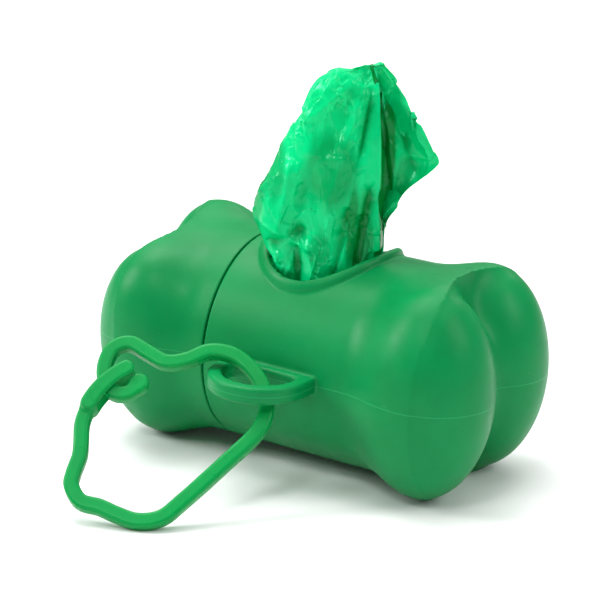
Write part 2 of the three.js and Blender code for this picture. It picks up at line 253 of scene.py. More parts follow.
def cap_field(p):
    x, y, z = p[..., 0], p[..., 1], p[..., 2]
    c, s = math.cos(-CAP_TWIST), math.sin(-CAP_TWIST)
    own = np.stack([x, c * y - s * z, s * y + c * z], -1)
    outside = bone_field(own)
    edge = SEAM_X - SEAM_GAP
    solid = smooth_max(outside, x - edge, SEAM_ROUND)
    solid = smooth_max(solid, -(outside + WALL), EDGE_ROUND)
    root = TUBE_RADIUS - WALL
    thread = thread_field(own, math.pi - CAP_TWIST, root, CAP_THREAD_CREST)
    thread = np.maximum(thread, np.hypot(y, z) - root - CAP_THREAD_SINK)
    return np.minimum(solid, thread)


# ---------------------------------------------------------------- meshes from fields

PROBE = 0.02
SHELL_NORMAL_PROBE = 0.08
CLIP_NORMAL_PROBE = 0.05
FLATTEST_SLOPE = 0.1
LONGEST_MOVE = 0.5
SETTLE_ROUNDS = 3


def surface_net(field, low, high, step):
    """Vertices and outward quads of the surface where the field is 0."""
    axes = [np.arange(a, b + step, step) for a, b in zip(low, high)]
    grid = np.stack(np.meshgrid(*axes, indexing="ij"), -1)
    value = field(grid)
    cells = np.array(value.shape) - 1
    total = np.zeros((cells.prod(), 3))
    count = np.zeros(cells.prod())
    crossings = []
    for axis in range(3):
        unit = np.eye(3, dtype=int)[axis]
        here = value[tuple(slice(0, n - u) for n, u in zip(value.shape, unit))]
        there = value[tuple(slice(u, n) for n, u in zip(value.shape, unit))]
        index = np.argwhere((here < 0) != (there < 0))
        a, b = here[tuple(index.T)], there[tuple(index.T)]
        point = grid[tuple(index.T)] + (a / (a - b) * step)[:, None] * unit
        side, across = np.eye(3, dtype=int)[[(axis + 1) % 3, (axis + 2) % 3]]
        around = [index - side - across, index - across, index, index - side]
        inner = np.all([(c >= 0).all(1) & (c < cells).all(1) for c in around], 0)
        flat = [np.ravel_multi_index(c[inner].T, cells) for c in around]
        for cell in flat:
            count += np.bincount(cell, minlength=len(count))
            for k in range(3):
                total[:, k] += np.bincount(cell, point[inner, k], minlength=len(count))
        quads = np.stack(flat, -1)
        leaving = a[inner] < 0
        crossings.append(np.where(leaving[:, None], quads, quads[:, ::-1]))
    used = count > 0
    number = np.cumsum(used) - 1
    return total[used] / count[used, None], number[np.concatenate(crossings)]


def gradient(field, points, h=PROBE):
    steps = h * np.eye(3)
    return np.stack([(field(points + d) - field(points - d)) / (2 * h) for d in steps], -1)


def settle(field, points, step):
    """Moves the points onto the field's surface and returns them with its normals."""
    for _ in range(SETTLE_ROUNDS):
        slope = gradient(field, points)
        shift = -(field(points) / np.maximum((slope ** 2).sum(1), FLATTEST_SLOPE))[:, None] * slope
        size = np.linalg.norm(shift, axis=1, keepdims=True)
        points = points + shift * np.minimum(1, LONGEST_MOVE * step / np.maximum(size, TINY))
    normals = gradient(field, points, SHELL_NORMAL_PROBE)
    return points, normals / np.linalg.norm(normals, axis=1, keepdims=True)


def new_object(name, points, faces, matrix, normals=None):
    """A smooth-shaded mesh object whose points are given in the matrix's own units."""
    mesh = bpy.data.meshes.new(name)
    m = np.array(matrix)
    placed = np.asarray(points) @ m[:3, :3].T + m[:3, 3]
    if not isinstance(faces, list):
        faces = np.asarray(faces).tolist()
    mesh.from_pydata(placed.tolist(), [], faces)
    mesh.update()
    mesh.shade_smooth()
    if normals is not None:
        turned = normals @ m[:3, :3].T
        turned /= np.linalg.norm(turned, axis=1, keepdims=True)
        mesh.normals_split_custom_set_from_vertices(turned.tolist())
    piece = bpy.data.objects.new(name, mesh)
    bpy.context.scene.collection.objects.link(piece)
    return piece


def from_field(name, field, grid, step, matrix):
    points, faces = surface_net(field, *grid, step)
    points, normals = settle(field, points, step)
    return new_object(name, points, faces, matrix, normals)


# ---------------------------------------------------------------- carabiner

FRAME_LINE = [
    (-22.4, -2.6), (-23.8, -4.5), (-26.3, -4.8), (-28.4, -2.8), (-29, 0.6), (-27.9, 4.1),
    (-25, 5.5), (-21.6, 3.9), (-18, 2.2), (-14.2, 2.9), (-10.2, 5), (-5.8, 4.6), (-2.2, 2),
    (0.4, -1.8), (1.3, -5.4), (0.1, -10.4), (-5.6, -17.6), (-12, -25.1), (-15.3, -28.4),
    (-19.4, -29.35), (-23.2, -28.4), (-26.4, -27.2), (-29.9, -26.4), (-31.9, -23.6),
    (-31.9, -21.4), (-31.5, -19.35),
]
GATE_LINE = [
    (-31.2, -17.6), (-31.3, -15.2), (-31.6, -11.4), (-30.9, -8.2), (-29.4, -5), (-27.2, -2.2), (-24.9, -0.3),
]


def smooth_line(points, per_span):
    """A Catmull-Rom curve through the points."""
    p = np.array(points, float)
    p = np.concatenate([[p[0]], p, [p[-1]]])
    out = []
    for i in range(1, len(p) - 2):
        t = np.arange(per_span)[:, None] / per_span
        a, b, c, d = p[i - 1:i + 3]
        out.append(0.5 * (2 * b + (c - a) * t + (2 * a - 5 * b + 4 * c - d) * t ** 2
                          + (3 * b - a - 3 * c + d) * t ** 3))
    return np.concatenate(out + [p[-2:-1]])


def line_distance(line, x, y):
    best = np.full(np.shape(x), 1e9)
    for (ax, ay), (bx, by) in zip(line[:-1], line[1:]):
        dx, dy = bx - ax, by - ay
        t = np.clip(((x - ax) * dx + (y - ay) * dy) / (dx * dx + dy * dy), 0, 1)
        best = np.minimum(best, np.hypot(x - ax - t * dx, y - ay - t * dy))
    return best


def length_from_end(line):
    return np.append(np.cumsum(np.linalg.norm(np.diff(line[::-1], axis=0), axis=1))[::-1], 0)


POINTS_PER_SPAN = 6
LOOP_POINT = 20
GATE_OVERLAP_POINTS = 3
BAND = smooth_line(FRAME_LINE + GATE_LINE, POINTS_PER_SPAN)
FRAME_POINTS = len(FRAME_LINE) * POINTS_PER_SPAN + 1
FORK_START = int(np.argmax(length_from_end(BAND) < FORK_LENGTH))
FORK_SLOT_START = int(np.argmax(length_from_end(BAND) < FORK_SLOT_LENGTH))


def clip_field(p):
    """The whole clip in its own plane, the gate's fork open where the nose lies in it."""
    x, y, z = p[..., 0], p[..., 1], np.abs(p[..., 2])
    plan_x, plan_y = (x[..., 0], y[..., 0]) if x.ndim == 3 else (x, y)

    def spread(values):
        return values[..., None] if x.ndim == 3 else values

    half = WIRE_THICKNESS / 2
    frame_plan = spread(line_distance(BAND[:FRAME_POINTS], plan_x, plan_y)) - WIRE_WIDTH / 2
    gate_band = BAND[FRAME_POINTS - GATE_OVERLAP_POINTS:]
    gate_plan = spread(line_distance(gate_band, plan_x, plan_y)) - WIRE_WIDTH / 2
    fork_plan = spread(line_distance(BAND[FORK_START:], plan_x, plan_y)) - FORK_WIDTH / 2
    opening = spread(line_distance(BAND[FORK_SLOT_START:], plan_x, plan_y)) - FORK_WIDTH
    nub_plan = np.hypot(x - BAND[0, 0], y - BAND[0, 1]) - NUB_RADIUS
    hoop = smooth_max(smooth_min(frame_plan, nub_plan, NUB_BLEND), z - half, CLIP_EDGE_ROUND)
    arm = smooth_max(gate_plan, z - half, CLIP_EDGE_ROUND)
    plates = smooth_max(fork_plan, z - FORK_GAP / 2 - FORK_PLATE, PLATE_EDGE_ROUND)
    arm = smooth_min(arm, plates, FORK_BLEND)
    arm = smooth_max(arm, -np.maximum(opening, z - FORK_GAP / 2), FORK_SLOT_ROUND)
    return np.minimum(hoop, arm)


def flood(start):
    """Every face that is joined to the first one by edges."""
    found, todo = {start}, [start]
    while todo:
        face = todo.pop()
        for edge in face.edges:
            for other in edge.link_faces:
                if other not in found:
                    found.add(other)
                    todo.append(other)
    return found


def clip_pieces():
    """The frame and the gate's arm, cut apart across the wire where the real clip bends."""
    points, faces = surface_net(clip_field, *CLIP_GRID, CLIP_STEP)
    points, _ = settle(clip_field, points, CLIP_STEP)
    whole = new_object("clip_whole", points, faces, Matrix.Identity(4))
    centre = Vector((*FLEX_POINT, 0))
    on_loop = Vector((*BAND[LOOP_POINT], 0))
    made = []
    for name, is_loop in (("carabiner_loop", True), ("carabiner_arm", False)):
        bm = bmesh.new()
        bm.from_mesh(whole.data)
        near = [f for f in bm.faces if (f.calc_center_median() - centre).length < FLEX_REACH]
        geom = near + list({e for f in near for e in f.edges}) + list({v for f in near for v in f.verts})
        cut = bmesh.ops.bisect_plane(bm, geom=geom, plane_co=centre, plane_no=FLEX_CUT_NORMAL)
        edges = [e for e in cut["geom_cut"] if isinstance(e, bmesh.types.BMEdge)]
        bmesh.ops.split_edges(bm, edges=edges)
        loop_faces = flood(min(bm.faces, key=lambda f: (f.calc_center_median() - on_loop).length))
        drop = [f for f in bm.faces if (f in loop_faces) != is_loop]
        bmesh.ops.delete(bm, geom=drop, context="FACES")
        rim = [e for e in bm.edges if e.is_boundary]
        bmesh.ops.holes_fill(bm, edges=rim, sides=0)
        bm.verts.index_update()
        local = np.array([v.co for v in bm.verts])
        polygons = [[v.index for v in f.verts] for f in bm.faces]
        normals = gradient(clip_field, local, CLIP_NORMAL_PROBE)
        normals /= np.linalg.norm(normals, axis=1, keepdims=True)
        made.append(new_object(name, local, polygons, CLIP, normals))
        bm.free()
    bpy.data.objects.remove(whole)
    return made


# ---------------------------------------------------------------- film bag

BAG_FACING = math.radians(25)
BAG_FOOT = (1.5, -5)
BAG_LOW_Z = 12.5
BAG_TOP_Z = 56.8
LEFT_EDGE = [(12, -7), (15, -8.6), (18, -9.8), (24.3, -12.2), (27.5, -13.3), (31.1, -12.6), (35.1, -10.6),
             (39.1, -8.9), (43.1, -7), (47, -5.3), (51, -3.4), (53.3, -2), (55.2, 2.2), (57, 6.4)]
RIDGE = [(12, 8.4), (17, 10.4), (20.8, 11.4), (27, 11.4), (40, 10.8), (50, 10), (54, 9.4), (57, 8.2)]
FLAP_EDGE = [(12, 8.6), (17, 10.4), (20.8, 11.4), (26, 11.2), (29.5, 12.9), (33.6, 15.8), (36, 18.7),
             (38.6, 21.7), (40.2, 21.1), (46, 17.1), (50.4, 14), (54, 11.9), (57, 9)]
FRONT_DEPTH = [(12, 5.6), (15.5, 7), (20, 7.2), (26, 6.6), (34, 5.4), (44, 3.9), (52, 2.4), (57, 0.5)]
BACK_DEPTH = [(12, 5), (18, 5.5), (26, 4.4), (36, 3.4), (48, 2.4), (57, 0.4)]
RIDGE_DEPTH = [(12, 1.5), (20, 2.8), (30, 4), (44, 3.6), (54, 1.6), (57, 0.3)]
BAG_LEVELS = 110
FRONT, RECESS, FLAP, BACK = range(4)
FRONT_STEPS, RECESS_STEPS, FLAP_STEPS, BACK_STEPS = 66, 8, 28, 50
SIM_SCALE = 0.02
SIM_FRAMES = 18
SIM_QUALITY = 6
AIR_DAMPING = 2
FILM_MASS = 0.3
FILM_TENSION = 25
FILM_SHEAR = 10
HELD_BELOW = 14.0
HELD_ABOVE = 56.4
SHAPE_GRIP = 0.02
FILM_BENDING = 0.12
FILM_SPARE = 0.09
MOVE_CAP = 1.3
ROLL_CLEAR = 16.1
LIP_TOP = 22.2
SLOT_CLEAR = 0.4
FOOT_RINGS = (0.06, 0.2, 0.4, 0.6, 0.8)
DRAW_IN_OVER = 0.6
SMOOTHING_SAMPLES, SMOOTHING_REACH = 400, 11
FOLD_END_SLOPE, FOLD_END_HEIGHT = 4, 0.6
FOLD_FADE_TOP, FOLD_FADE_FOOT, FOLD_FOOT_Z = 6, 4, 11
BACK_RELIEF, RECESS_RELIEF = -0.8, 0.3
# Darkness painted into the film's colour: painted shade along fold valleys, its deepest value, painted shade
# in the recess behind the ridge, and a fixed slight darkening of the back panel.
FOLD_SHADE, DEEPEST_SHADE, RECESS_SHADE, BACK_SHADE = 0.75, 0.9, 0.9, 0.15
PATCH_STEEPNESS, PATCH_SPREAD = 2.2, 1.25

# Crushed film. Each crumple is the size of its facets, how far they stand out, and its seed.
START_CRUMPLE = (6.0, 0.3, 11)
WIDE_CRUMPLE = (5.5, 0.5, 21)
FINE_CRUMPLE = (2.2, 0.08, 31)
RIDGE_SEED_STEP = 100
FACET_STRETCH = (1, 1, 0.6)
DOME_NEIGHBOURS, DOME_LEVEL, DOME_ROUNDNESS = 6, 0.4, 1.2
CALM_Z, CALM_REACH, CALM_SHARE = 36, 14, 0.4
RELIEF_FADE = 2
RELIEF_LIMITS = (-0.9, 0.7)

# Plan of the film at each height.
FRONT_SKEW, FRONT_FULLNESS, FRONT_THINNING = 0.9, 0.62, 0.35
RIDGE_SHARPNESS = 4
FLAP_OPENS_OVER = 2.5
TUCK_DEPTH, TUCK_SHARE = 1.3, 0.6
FLAP_BEHIND, FLAP_BOW, FLAP_LEAN = 0.6, 1.4, 0.4
BACK_GAP, BACK_SPREAD, BACK_FULLNESS = 0.2, 0.6, 0.7

# Folds of the front panel: from, to, how far the fold stands forward, and its width.
FRONT_FOLDS = [
    ((-7.5, 51), (-12.8, 28), -1.2, 1.2), ((-5, 50), (-10.8, 27), 0.9, 1.4),
    ((-8, 40), (-12.5, 22), -0.9, 1.1),
    ((-1, 53), (3.5, 41), 0.8, 1.0), ((6, 55), (-3, 46), 0.9, 1.1), ((7, 54), (1.5, 30), 0.7, 1.2),
    ((8, 52), (5.5, 28), -1.1, 1.1), ((7, 40), (4, 16), 1.0, 1.3), ((9, 34), (7, 17), -1.4, 1.1),
    ((5.2, 30), (3.2, 15), -1.3, 1.1), ((-6, 38), (-7.5, 24), 0.9, 1.0), ((-11, 26), (-1, 22), 1.3, 1.1),
    ((-9, 22), (-3, 26), -1.2, 1.2), ((-4, 24), (-3, 14), -1.2, 1.0), ((-8, 20), (-6, 14), 1.1, 0.9),
    ((0.5, 22), (-1.5, 14), 1.1, 1.0), ((-3.5, 40), (5, 39), 0.6, 1.4), ((-4, 30), (-2, 39), -0.5, 1.3),
]
# Patches painted darker: middle, half size, and how much darker. They stand for film lying in more than one
# layer, and for painted shade in folds and in the hollow beside the ridge.
FRONT_LAYERS_AND_SHADE = [
    ((1.8, 37), (4.6, 6.8), 0.5), ((-8.6, 36), (1.8, 5.5), 0.4), ((6.2, 27), (1.1, 8), 0.6),
    ((9.3, 24), (0.9, 6), 0.5), ((0.4, 22), (2, 3), 0.4), ((-6, 16), (3, 1.8), 0.6),
    ((3.2, 15), (6, 1.2), 0.5), ((6.5, 51.5), (3, 1.2), 0.3),
]
FLAP_LAYERS_AND_SHADE = [((11.4, 38), (1.5, 13), 0.85), ((14.6, 35), (1.6, 5), 0.4), ((13, 47), (0.9, 6), 0.3)]
FLAP_FOLDS = [
    ((9.5, 55), (13, 34), 1.3, 1.2), ((10.5, 53), (16.5, 37), -1.1, 1.1), ((11, 52), (19, 40), 0.8, 1.0),
    ((10.5, 45), (12.5, 30), -1.2, 1.2), ((14, 40), (19.5, 39.2), 0.5, 0.8),
]


def by_height(points, z):
    """A smooth value at each height, through the given (height, value) points."""
    heights, values = np.array(points, float).T
    fine = np.linspace(heights[0], heights[-1], SMOOTHING_SAMPLES)
    rough = np.interp(fine, heights, values)
    kernel = np.hanning(2 * SMOOTHING_REACH + 1)
    padded = np.pad(rough, SMOOTHING_REACH, mode="edge")
    return np.interp(z, fine, np.convolve(padded, kernel / kernel.sum(), "valid"))


def fold_relief(folds, u, z):
    """How far the listed folds push the film out at each point. Each has a sharp crest."""
    out = np.zeros(np.shape(u))
    for (u0, z0), (u1, z1), rise, width in folds:
        du, dz = u1 - u0, z1 - z0
        t = ((u - u0) * du + (z - z0) * dz) / (du * du + dz * dz)
        beside = np.hypot(u - u0 - np.clip(t, 0, 1) * du, z - z0 - np.clip(t, 0, 1) * dz)
        starts = np.clip(FOLD_END_SLOPE * t + FOLD_END_HEIGHT, 0, 1)
        stops = np.clip(FOLD_END_SLOPE * (1 - t) + FOLD_END_HEIGHT, 0, 1)
        out += rise * np.exp(-beside / width) * starts * stops
    return out


def creased(points, spacing, seed):
    """Height of a patchwork of tilted domes with sharp valleys between them, in units of the spacing."""
    rng = np.random.default_rng(seed)
    low, high = points.min(0) - spacing, points.max(0) + spacing
    amount = int(np.prod((high - low) / spacing))
    centres = rng.uniform(low, high, (amount, 3))
    tilts = rng.normal(0, 1, (amount, 3))
    level = rng.uniform(-DOME_LEVEL, DOME_LEVEL, amount)
    tree = KDTree(amount)
    for i, centre in enumerate(centres):
        tree.insert(centre, i)
    tree.balance()
    found = [tree.find_n(point, DOME_NEIGHBOURS) for point in points]
    near = np.array([[hit[1] for hit in hits] for hits in found])
    gap = np.array([[hit[2] for hit in hits] for hits in found]) / spacing
    slopes = ((points[:, None] - centres[near]) * tilts[near]).sum(2) / spacing
    return (level[near] + slopes - DOME_ROUNDNESS * gap ** 2).max(1)


def crumple(points, spacing, height, seed):
    """Relief of crushed film: flat facets that meet in sharp ridges and sharp valleys."""
    valleys = creased(points, spacing, seed)
    ridges = creased(points, spacing, seed + RIDGE_SEED_STEP)
    return height * (valleys - ridges)


def layer_and_painted_shade(patches, u, z):
    """0 outside the patches, towards 1 inside them: film lying in more than one layer, and painted shade."""
    out = np.zeros(np.shape(u))
    for (u0, z0), (half_u, half_z), amount in patches:
        off = np.hypot((u - u0) / half_u, (z - z0) / half_z)
        out = np.maximum(out, amount * np.clip(PATCH_STEEPNESS * (PATCH_SPREAD - off), 0, 1))
    return out


def bag_ring(z):
    """Plan points (u, w) of the film round the bag at one height, and the panel each is on."""
    left, ridge, flap = by_height(LEFT_EDGE, z), by_height(RIDGE, z), by_height(FLAP_EDGE, z)
    front, back, lift = by_height(FRONT_DEPTH, z), by_height(BACK_DEPTH, z), by_height(RIDGE_DEPTH, z)
    t = np.linspace(0, 1, FRONT_STEPS, endpoint=False)
    lean = np.sin(math.pi * t ** FRONT_SKEW) ** FRONT_FULLNESS
    u_front = left + (ridge - left) * t
    w_front = -front * lean * (1 - FRONT_THINNING * t) - lift * t ** RIDGE_SHARPNESS
    t = np.linspace(0, 1, RECESS_STEPS, endpoint=False)
    open_flap = np.clip((flap - ridge) / FLAP_OPENS_OVER, 0, 1)
    u_recess = ridge - TUCK_DEPTH * open_flap * np.sin(math.pi * t) * TUCK_SHARE
    w_recess = -lift + (lift + FLAP_BEHIND * open_flap) * t
    t = np.linspace(0, 1, FLAP_STEPS, endpoint=False)
    u_flap = ridge + (flap - ridge) * t
    w_flap = FLAP_BEHIND * open_flap + (FLAP_BOW * np.sin(math.pi * t) - FLAP_LEAN * t) * open_flap
    t = np.linspace(0, 1, BACK_STEPS, endpoint=False)
    u_back = flap + (left - flap) * t
    w_back = (BACK_GAP + BACK_SPREAD * (1 - t)) * open_flap + back * np.sin(math.pi * t) ** BACK_FULLNESS
    u = np.concatenate([u_front, u_recess, u_flap, u_back])
    w = np.concatenate([w_front, w_recess, w_flap, w_back])
    kind = np.repeat([FRONT, RECESS, FLAP, BACK], [FRONT_STEPS, RECESS_STEPS, FLAP_STEPS, BACK_STEPS])
    return u, w, kind


def film_bag():
    """The pulled bag: a lofted envelope, rumpled as cloth, closed at its foot."""
    heights = np.linspace(BAG_LOW_Z, BAG_TOP_Z, BAG_LEVELS)
    rings = [bag_ring(z) for z in heights]
    u = np.array([r[0] for r in rings])
    w = np.array([r[1] for r in rings])
    kind = rings[0][2]
    z = np.repeat(heights[:, None], u.shape[1], 1)
    relief = np.where(kind == FLAP, fold_relief(FLAP_FOLDS, u, z), fold_relief(FRONT_FOLDS, u, z))
    # Painted shade along the valleys of the folds.
    painted_fold_shade = np.clip(-FOLD_SHADE * relief, 0, DEEPEST_SHADE)
    relief[:, kind == BACK] *= BACK_RELIEF
    fade = np.clip((BAG_TOP_Z - z) / FOLD_FADE_TOP, 0, 1) * np.clip((z - FOLD_FOOT_Z) / FOLD_FADE_FOOT, 0, 1)
    w = w - relief * fade * np.where(kind == RECESS, RECESS_RELIEF, 1)
    along = np.array([math.cos(BAG_FACING), math.sin(BAG_FACING)])
    across = np.array([-along[1], along[0]])
    plan = np.array(BAG_FOOT) + u[..., None] * along + w[..., None] * across
    points = np.concatenate([plan, z[..., None]], -1).reshape(-1, 3)
    rows, columns = u.shape
    shade = np.where(kind == FLAP, layer_and_painted_shade(FLAP_LAYERS_AND_SHADE, u, z), layer_and_painted_shade(FRONT_LAYERS_AND_SHADE, u, z))
    shade = np.maximum(shade, painted_fold_shade)
    # Painted shade in the tucked recess behind the ridge, and a slightly darker back panel.
    shade[:, kind == RECESS] = RECESS_SHADE
    shade[:, kind == BACK] = BACK_SHADE
    walls = rumple(points, ring_quads(rows, columns)).reshape(rows, columns, 3)
    middle = walls[0].mean(0)
    foot = [middle + (walls[0] - middle) * size for size in FOOT_RINGS]
    points = np.concatenate([*foot, *walls])
    shade = np.concatenate([np.repeat(shade[:1], len(foot), 0), shade]).ravel()
    return close_and_place(clear_of_roll(points), ring_quads(rows + len(foot), columns), shade)


def ring_quads(rows, columns):
    """Quads between neighbouring rings of a loft."""
    index = np.arange(rows * columns).reshape(rows, columns)
    right = np.roll(index, -1, 1)
    return np.stack([index[:-1], right[:-1], right[1:], index[1:]], -1).reshape(-1, 4)


def inside_slot(points):
    """Draws the points at the slot's height in from its edge."""
    half = np.array([SLOT_HALF_LENGTH, SLOT_HALF_WIDTH]) - SLOT_CLEAR
    plan = points[:, :2] - (SLOT_X, 0)
    ratio = np.hypot(*(plan / half).T)
    low = np.clip((LIP_TOP + DRAW_IN_OVER - np.hypot(points[:, 1], points[:, 2])) / DRAW_IN_OVER, 0, 1)
    drawn = plan * (1 - low * (1 - 1 / np.maximum(ratio, 1)))[:, None] + (SLOT_X, 0)
    return np.concatenate([drawn, points[:, 2:]], 1)


def clear_of_roll(points):
    """Moves the points that would lie in the roll out to just above it."""
    reach = np.hypot(points[:, 1], points[:, 2])
    outward = np.maximum(1, ROLL_CLEAR / reach)
    return points * np.stack([np.ones(len(points)), outward, outward], -1)


def rumple(points, quads):
    """Cloth simulation of film that is a little larger than its shape, so that it buckles."""
    start = points + crumple(points * FACET_STRETCH, *START_CRUMPLE)[:, None] * ring_normals(points)
    piece = new_object("film_sim", start, quads, Matrix.Scale(SIM_SCALE, 4))
    held = piece.vertex_groups.new(name="held")
    z = start[:, 2]
    grip = np.where((z < HELD_BELOW) | (z > HELD_ABOVE), 1.0, SHAPE_GRIP)
    for weight in np.unique(grip):
        held.add(np.flatnonzero(grip == weight).tolist(), float(weight), "REPLACE")
    cloth = piece.modifiers.new("film", "CLOTH")
    rules = cloth.settings
    rules.quality = SIM_QUALITY
    rules.mass = FILM_MASS
    rules.tension_stiffness = rules.compression_stiffness = FILM_TENSION
    rules.shear_stiffness = FILM_SHEAR
    rules.bending_stiffness = FILM_BENDING
    rules.shrink_min = rules.shrink_max = -FILM_SPARE
    rules.vertex_group_mass = "held"
    rules.pin_stiffness = 1
    rules.air_damping = AIR_DAMPING
    rules.effector_weights.gravity = 0
    cloth.collision_settings.use_collision = False
    cloth.point_cache.frame_end = SIM_FRAMES
    scene = bpy.context.scene
    for number in range(1, SIM_FRAMES + 1):
        scene.frame_set(number)
    settled = piece.evaluated_get(bpy.context.evaluated_depsgraph_get())
    end = np.array([v.co for v in settled.data.vertices]) / SIM_SCALE
    bpy.data.objects.remove(piece)
    scene.frame_set(1)
    move = end - points
    size = np.linalg.norm(move, axis=1, keepdims=True)
    return points + move * np.minimum(1, MOVE_CAP / np.maximum(size, TINY))


def ring_normals(points):
    grid = points.reshape(BAG_LEVELS, -1, 3)
    around = np.roll(grid, -1, 1) - np.roll(grid, 1, 1)
    out = np.cross(around, np.gradient(grid, axis=0)).reshape(-1, 3)
    return out / np.maximum(np.linalg.norm(out, axis=1, keepdims=True), TINY)


def moved(points, matrix):
    m = np.array(matrix)
    return points @ m[:3, :3].T + m[:3, 3]


def crush(mesh):
    """Gives the film its facets and creases, and keeps it inside the slot and off the roll."""
    placed = np.array([v.co for v in mesh.vertices])
    facing = np.array([v.normal for v in mesh.vertices])
    p = moved(placed, BONE.inverted())
    busy = CALM_SHARE + (1 - CALM_SHARE) * np.clip(np.abs(p[:, 2] - CALM_Z) / CALM_REACH, 0, 1)
    stretched = p * FACET_STRETCH
    relief = crumple(stretched, *WIDE_CRUMPLE) + crumple(stretched, *FINE_CRUMPLE)
    relief = relief * busy * np.clip((p[:, 2] - BAG_LOW_Z) / RELIEF_FADE, 0, 1)
    raised = placed + facing * np.clip(relief, *RELIEF_LIMITS)[:, None] * MM
    kept_clear = clear_of_roll(inside_slot(moved(raised, BONE.inverted())))
    mesh.vertices.foreach_set("co", moved(kept_clear, BONE).ravel())
    mesh.update()


def close_and_place(points, quads, shade):
    """The finer, closed mesh of the bag in the row frame."""
    rough = new_object("film_rough", points, quads, BONE)
    # The darkness painted into the film's colour, for film lying in more than one layer and for painted
    # shade, is kept on the points.
    layers_and_painted_shade = rough.data.attributes.new("layers_and_painted_shade", "FLOAT", "POINT")
    layers_and_painted_shade.data.foreach_set("value", shade.astype(np.float32))
    finer = rough.modifiers.new("finer", "SUBSURF")
    finer.levels = 1
    made = rough.evaluated_get(bpy.context.evaluated_depsgraph_get())
    bm = bmesh.new()
    bm.from_mesh(made.data)
    bmesh.ops.holes_fill(bm, edges=[e for e in bm.edges if e.is_boundary], sides=0)
    mesh = bpy.data.meshes.new("film_bag")
    bm.to_mesh(mesh)
    bm.free()
    crush(mesh)
    mesh.shade_smooth()
    bpy.data.objects.remove(rough)
    piece = bpy.data.objects.new("film_bag", mesh)
    bpy.context.scene.collection.objects.link(piece)
    return piece


# ---------------------------------------------------------------- roll

SLEEVE_AROUND, CORE_AROUND = 120, 96
SLEEVE_RIPPLE, CORE_RIPPLE = 0.03, 0.02
RIPPLE_WAVES = range(2, 9)
RIPPLE_LENGTH = 9
SLEEVE_BACKSET, SLEEVE_STAGGER = 0.15, 0.12
SLEEVE_INSIDE_GAP, SLEEVE_OUTSIDE_GAP = 0.02, 0.03
SLEEVE_EDGE_DROP, SLEEVE_EDGE_RUN, SLEEVE_RINGS = 0.15, 0.2, 15
CORE_BACKSET, CORE_EDGE_RUN, CORE_SEED = 0.4, 0.2, 40
CORE_INNER, CORE_EDGE, CORE_OUTER = 5.35, 6.1, 6.25


def revolve(name, profile, around, wobble, seed):
    """A closed ring about the bone's axis. The profile is a closed list of (x, radius)."""
    rng = np.random.default_rng(seed)
    angle = np.linspace(0, 2 * math.pi, around, endpoint=False)
    shape = np.array(profile, float)
    ripple = sum(rng.uniform(-1, 1) * np.sin(k * angle + rng.uniform(0, 6)) / k for k in RIPPLE_WAVES)
    points = []
    for x, radius in shape:
        reach = radius + ripple * wobble * np.cos(x / RIPPLE_LENGTH + seed)
        points.append(np.stack([np.full(around, x), reach * np.cos(angle), reach * np.sin(angle)], -1))
    points = np.concatenate(points)
    index = np.arange(len(points)).reshape(len(shape), around)
    below = np.roll(index, -1, 0)
    quads = np.stack([index, np.roll(index, -1, 1), np.roll(below, -1, 1), below], -1).reshape(-1, 4)
    return new_object(name, points, quads, BONE)


def roll_pieces():
    made = []
    wound = sorted(n for n in frame["nodes"] if n.startswith("wound_bag_"))
    for number, node in enumerate(wound):
        mesh = frame["nodes"][node].data
        local = np.array([BONE.inverted() @ v.co for v in mesh.vertices])
        reach = np.hypot(local[:, 1], local[:, 2])
        inner, outer = reach.min() + SLEEVE_INSIDE_GAP, reach.max() - SLEEVE_OUTSIDE_GAP
        half = local[:, 0].max() - SLEEVE_BACKSET - SLEEVE_STAGGER * (number % 3)
        flat = half - SLEEVE_EDGE_RUN
        middle = [(x, outer) for x in np.linspace(-flat, flat, SLEEVE_RINGS)]
        edge = outer - SLEEVE_EDGE_DROP
        profile = [(-half, inner), (-half, edge), *middle, (half, edge), (half, inner)]
        name = node.replace("wound_bag", "rolled_film")
        piece = revolve(name, profile[::-1], SLEEVE_AROUND, SLEEVE_RIPPLE, number + 1)
        made.append((piece, node))
    return made


def core_piece():
    low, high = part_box("roll_core")
    half = (high.x - low.x) / 2 / MM - CORE_BACKSET
    flat = half - CORE_EDGE_RUN
    profile = [(-half, CORE_INNER), (-half, CORE_EDGE), (-flat, CORE_OUTER)]
    profile += [(-x, radius) for x, radius in profile[::-1]]
    return revolve("card_core", profile[::-1], CORE_AROUND, CORE_RIPPLE, CORE_SEED)


# ---------------------------------------------------------------- materials

WRINKLE_SQUASH = 0.55
LIGHT_THROUGH_FILM = 0.32
SCUFF_COLOUR = (150, 205, 170)
MOULD_LINE_COLOUR = (60, 190, 120)
MOULD_LINE_STRENGTH = 0.2


def linear(*screen):
    """The linear colour, with alpha, of a screen colour given from 0 to 255."""
    parts = [c / 255 for c in screen]
    return (*[c / 12.92 if c <= 0.04045 else ((c + 0.055) / 1.055) ** 2.4 for c in parts], 1)


